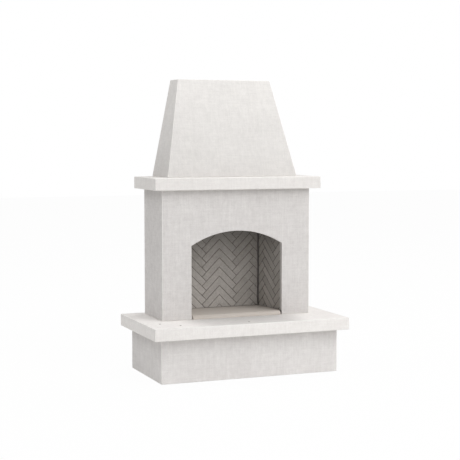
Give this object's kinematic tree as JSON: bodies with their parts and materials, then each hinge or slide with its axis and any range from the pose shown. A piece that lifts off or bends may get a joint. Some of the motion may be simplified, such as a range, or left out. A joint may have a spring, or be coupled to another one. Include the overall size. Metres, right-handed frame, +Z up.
{
  "type": "outdoor fireplace",
  "caption": "Free-standing fireplace of cast concrete: base, overhanging hearth, arched firebox lined with herringbone brick, mantel and tapered chimney hood.",
  "frame": {"origin": "on the ground under the middle of the overall outline", "axes": "+Z up, -Y out of the firebox's mouth, +X to the right of someone facing the mouth's back wall"},
  "size_m": [1.7018, 0.9272, 2.4384],
  "materials": {
    "cast_concrete": "pale smooth cast concrete with faint trowel streaks",
    "refractory_brick": "warm grey fired brick face, matte",
    "hearth_tile": "pale matte refractory",
    "insulation_board": "fibrous board",
    "galvanised_steel": "galvanised",
    "black_steel": "primed black",
    "cast_iron": "as cast",
    "stainless_steel": "mill finish",
    "sealant": "matte joint sealant"
  },
  "bodies": {
    "fireplace": {"base_surround": "cast_concrete", "hearth_slab": "cast_concrete", "arched_surround": "cast_concrete", "rear_cover": "cast_concrete", "mantel_shelf": "cast_concrete", "chimney_hood": "cast_concrete", "rear_brick_panel": "refractory_brick", "right_brick_panel": "refractory_brick", "left_brick_panel": "refractory_brick", "hearth_floor": "hearth_tile", "rear_insulation": "insulation_board", "right_insulation": "insulation_board", "left_insulation": "insulation_board", "left_side_frame": "galvanised_steel", "right_side_frame": "galvanised_steel", "smoke_dome": "galvanised_steel", "flue_firestop": "galvanised_steel", "mantel_dowel_1": "galvanised_steel", "mantel_dowel_2": "galvanised_steel", "mantel_dowel_3": "galvanised_steel", "mantel_dowel_4": "galvanised_steel", "hood_bolt_1": "galvanised_steel", "hood_bolt_2": "galvanised_steel", "hood_bolt_3": "galvanised_steel", "hood_bolt_4": "galvanised_steel", "base_frame": "black_steel", "base_leg_1": "black_steel", "base_leg_2": "black_steel", "base_leg_3": "black_steel", "base_leg_4": "black_steel", "base_leg_5": "black_steel", "base_leg_6": "black_steel", "lintel_angle": "black_steel", "ledger_angle": "black_steel", "damper_hinge_rod": "black_steel", "damper_frame": "cast_iron", "lower_flue_liner": "stainless_steel", "upper_flue_liner": "stainless_steel", "flue_joint_band": "stainless_steel", "chimney_top_pan": "stainless_steel", "storm_collar": "stainless_steel", "spark_screen_front": "stainless_steel", "spark_screen_back": "stainless_steel", "spark_screen_left": "stainless_steel", "spark_screen_right": "stainless_steel", "rain_cap": "stainless_steel", "rear_cover_screw_1": "stainless_steel", "rear_cover_screw_2": "stainless_steel", "rear_cover_screw_3": "stainless_steel", "rear_cover_screw_4": "stainless_steel", "base_joint_seal": "sealant", "left_body_seal": "sealant", "right_body_seal": "sealant", "mantel_joint_seal": "sealant", "hood_joint_seal": "sealant"},
    "damper_flap": {"damper_plate": "cast_iron", "damper_arm_pin": "black_steel"},
    "damper_arm": {"damper_arm": "black_steel"}
  },
  "joints": [
    {"name": "damper_hinge", "type": "hinge", "parent": "fireplace", "child": "damper_flap", "pos_m": [0, 0.17907, 1.23569], "axis": [-1, 0, 0], "range_deg": [0, 60]},
    {"name": "damper_arm_pivot", "type": "hinge", "parent": "damper_flap", "child": "damper_arm", "pos_m": [-0.28956, 0.05207, 1.21816], "axis": [1, 0, 0], "range_deg": [0, 60]}
  ],
  "couplings": [
    {"joint": "damper_arm_pivot", "follows": "damper_hinge", "ratio": 1}
  ]
}
